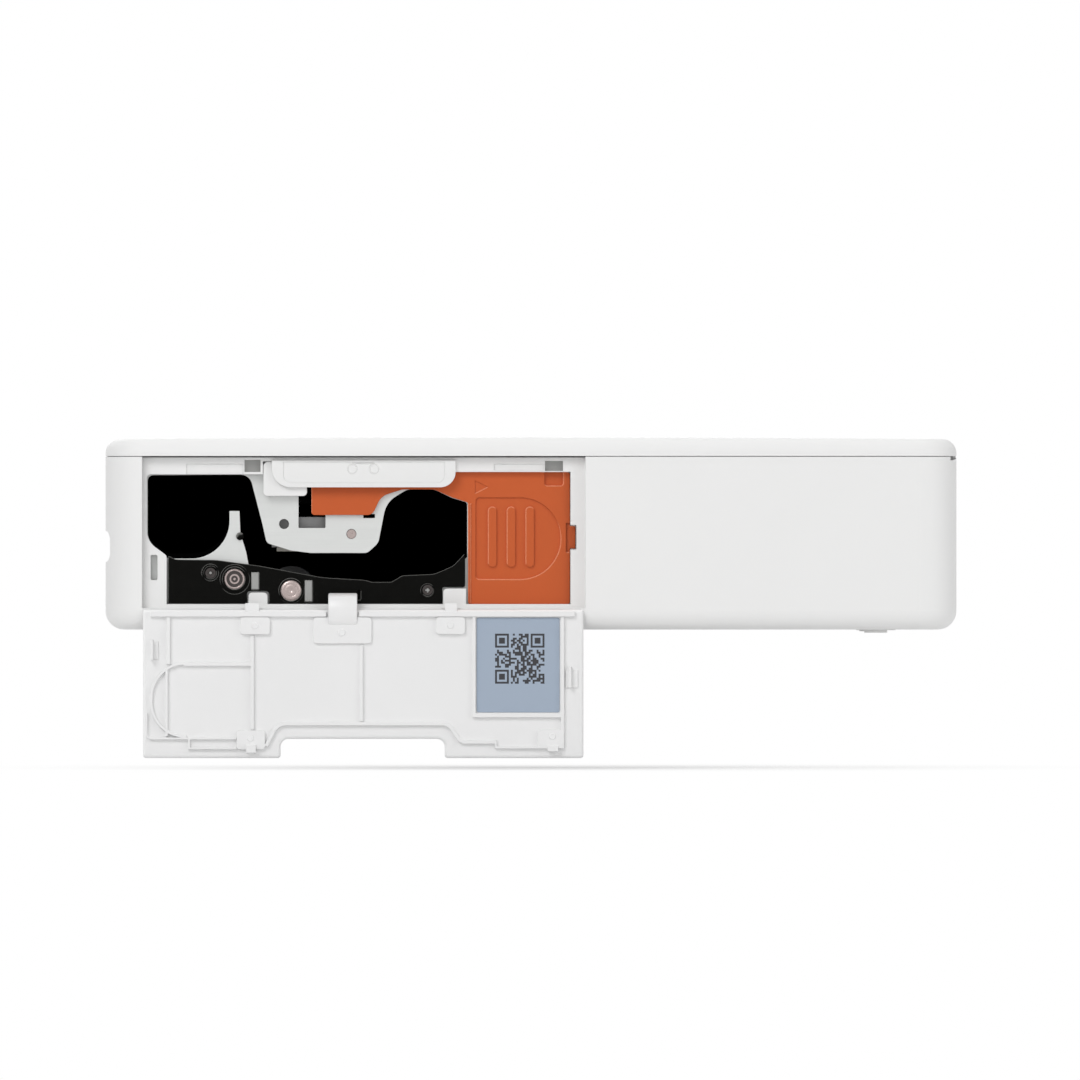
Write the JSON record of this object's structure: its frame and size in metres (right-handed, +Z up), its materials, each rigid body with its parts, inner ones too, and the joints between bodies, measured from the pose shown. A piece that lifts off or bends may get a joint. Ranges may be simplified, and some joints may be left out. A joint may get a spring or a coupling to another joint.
{
  "type": "pocket photo printer",
  "caption": "Flat white dye-sublimation pocket photo printer with a hinged lid, print mouth, and a side bay with orange eject lever behind a drop-down cassette cover.",
  "frame": {"origin": "middle of the case's flat underside", "axes": "+X from the print mouth to the hinged rear end, -Y to the cassette side, +Z up through the lid"},
  "size_m": [0.1458, 0.1058, 0.0549],
  "materials": {
    "white_shell": "fine matt moulded plastic",
    "white_inner": "matt white plastic",
    "foot_plastic": "soft matt plastic",
    "steel": "turned and polished steel",
    "black_steel": "blackened steel",
    "dull_steel": "dull grey sheet steel",
    "coated_steel": "black coated sheet steel",
    "plate_steel": "zinc plated sheet steel",
    "black_inner": "dull black moulded plastic",
    "black_plastic": "black moulded plastic with a faint sheen",
    "grey_plastic": "grey moulded plastic",
    "gear_plastic": "natural acetal",
    "rubber": "ground rubber",
    "motor_can": "drawn steel can",
    "aluminium": "extruded aluminium",
    "ceramic": "glazed ceramic",
    "battery_wrap": "wrapped cell pack",
    "board": "green lacquered circuit board",
    "chips": "black moulded packages",
    "clear_plastic": "clear moulded plastic",
    "orange_plastic": "matt orange plastic",
    "cover_plastic": "matt white plastic",
    "paper_label": "blue-grey printed label",
    "strap_plastic": "soft pale grey strap"
  },
  "bodies": {
    "printer": {"lower_case": "white_shell", "bay_frame": "white_inner", "label_panel": "white_inner", "label_block": "white_inner", "paper_deck": "white_inner", "feet": "foot_plastic", "case_screws": "steel", "hinge_pins": "steel", "head_pin": "steel", "gear_axles": "steel", "lever_spring": "steel", "head_springs": "steel", "frame_screws": "black_steel", "catch_plates": "dull_steel", "far_side_plate": "coated_steel", "head_beam": "coated_steel", "side_plate": "plate_steel", "usb_socket": "plate_steel", "channel_guide": "black_inner", "turn_guide": "black_inner", "supply_guide": "black_inner", "take_up_guide": "black_inner", "lower_frame": "black_plastic", "floor_guide": "black_plastic", "exit_guide": "black_plastic", "roller_bushes": "black_plastic", "bush_clips": "grey_plastic", "drive_motor": "motor_can", "battery_pack": "battery_wrap", "main_board": "board", "port_board": "board", "button_switch": "board", "board_chips": "chips", "light_pipe": "clear_plastic", "cover_strap": "strap_plastic"},
    "lid": {"lid_panel": "white_shell", "lid_liner": "white_inner"},
    "cassette_cover": {"cover_panel": "cover_plastic", "cover_label": "paper_label"},
    "lever": {"eject_lever": "orange_plastic"},
    "button": {"power_button": "white_inner"},
    "print_head": {"head_sink": "aluminium", "thermal_strip": "ceramic"},
    "platen": {"platen_shaft": "steel", "platen_sleeve": "rubber", "platen_gear": "gear_plastic"},
    "capstan": {"capstan_roller": "steel", "capstan_gear": "gear_plastic"},
    "pinch": {"pinch_roller": "rubber"},
    "pick": {"pick_roller": "rubber"},
    "motor_rotor": {"motor_shaft": "steel", "motor_pinion": "gear_plastic"},
    "reduction": {"reduction_gear": "gear_plastic"},
    "transfer": {"transfer_gear": "gear_plastic"},
    "idler": {"idler_gear": "gear_plastic"},
    "take_up": {"take_up_spindle": "black_inner"},
    "supply": {"supply_spindle": "black_inner"}
  },
  "joints": [
    {"name": "lid_hinge", "type": "hinge", "parent": "printer", "child": "lid", "pos_m": [0.072, 0, 0.0303], "axis": [0, 1, 0], "range_deg": [0, 95]},
    {"name": "cover_hinge", "type": "hinge", "parent": "printer", "child": "cassette_cover", "pos_m": [0, -0.0512, 0.00368], "axis": [-1, 0, 0], "range_deg": [0, 180], "deforming": ["cover_strap"]},
    {"name": "lever_slide", "type": "slide", "parent": "printer", "child": "lever", "axis": [1, 0, 0], "range_m": [0, 0.003], "stiffness_N_per_m": 120, "springref_m": -0.002, "deforming": ["lever_spring"]},
    {"name": "button_press", "type": "slide", "parent": "printer", "child": "button", "axis": [0, -1, 0], "range_m": [0, 0.0004], "stiffness_N_per_m": 2500, "springref_m": -0.0002},
    {"name": "head_lift", "type": "hinge", "parent": "printer", "child": "print_head", "pos_m": [-0.03077, 0, 0.01636], "axis": [0, -1, 0], "range_deg": [0, 8], "stiffness_Nm_per_rad": 0.2, "deforming": ["head_springs"]},
    {"name": "motor_spin", "type": "hinge", "parent": "printer", "child": "motor_rotor", "pos_m": [-0.00391, 0.043, 0.01308], "axis": [0, 1, 0], "continuous": true},
    {"name": "reduction_spin", "type": "hinge", "parent": "printer", "child": "reduction", "pos_m": [-0.01795, 0.047, 0.01671], "axis": [0, 1, 0], "continuous": true},
    {"name": "transfer_spin", "type": "hinge", "parent": "printer", "child": "transfer", "pos_m": [-0.0303, 0.047, 0.01477], "axis": [0, 1, 0], "continuous": true},
    {"name": "platen_spin", "type": "hinge", "parent": "printer", "child": "platen", "pos_m": [-0.04111, 0, 0.00668], "axis": [0, 1, 0], "continuous": true},
    {"name": "idler_spin", "type": "hinge", "parent": "printer", "child": "idler", "pos_m": [-0.04481, 0.047, 0.01321], "axis": [0, 1, 0], "continuous": true},
    {"name": "capstan_spin", "type": "hinge", "parent": "printer", "child": "capstan", "pos_m": [-0.05077, 0, 0.00865], "axis": [0, 1, 0], "continuous": true},
    {"name": "take_up_spin", "type": "hinge", "parent": "printer", "child": "take_up", "pos_m": [-0.01795, 0.038, 0.01671], "axis": [0, 1, 0], "continuous": true},
    {"name": "supply_spin", "type": "hinge", "parent": "printer", "child": "supply", "pos_m": [-0.05863, 0.038, 0.01876], "axis": [0, 1, 0], "continuous": true},
    {"name": "pinch_spin", "type": "hinge", "parent": "printer", "child": "pinch", "pos_m": [-0.05034, 0, 0.01337], "axis": [0, 1, 0], "continuous": true},
    {"name": "pick_spin", "type": "hinge", "parent": "printer", "child": "pick", "pos_m": [-0.03154, 0, 0.0222], "axis": [0, 1, 0], "continuous": true}
  ],
  "couplings": [
    {"joint": "motor_spin", "follows": "platen_spin", "ratio": -6.4},
    {"joint": "reduction_spin", "follows": "platen_spin", "ratio": 1.3333},
    {"joint": "take_up_spin", "follows": "platen_spin", "ratio": 1.3333},
    {"joint": "transfer_spin", "follows": "platen_spin", "ratio": -0.42105},
    {"joint": "idler_spin", "follows": "platen_spin", "ratio": -1.1429},
    {"joint": "capstan_spin", "follows": "platen_spin", "ratio": 1}
  ]
}
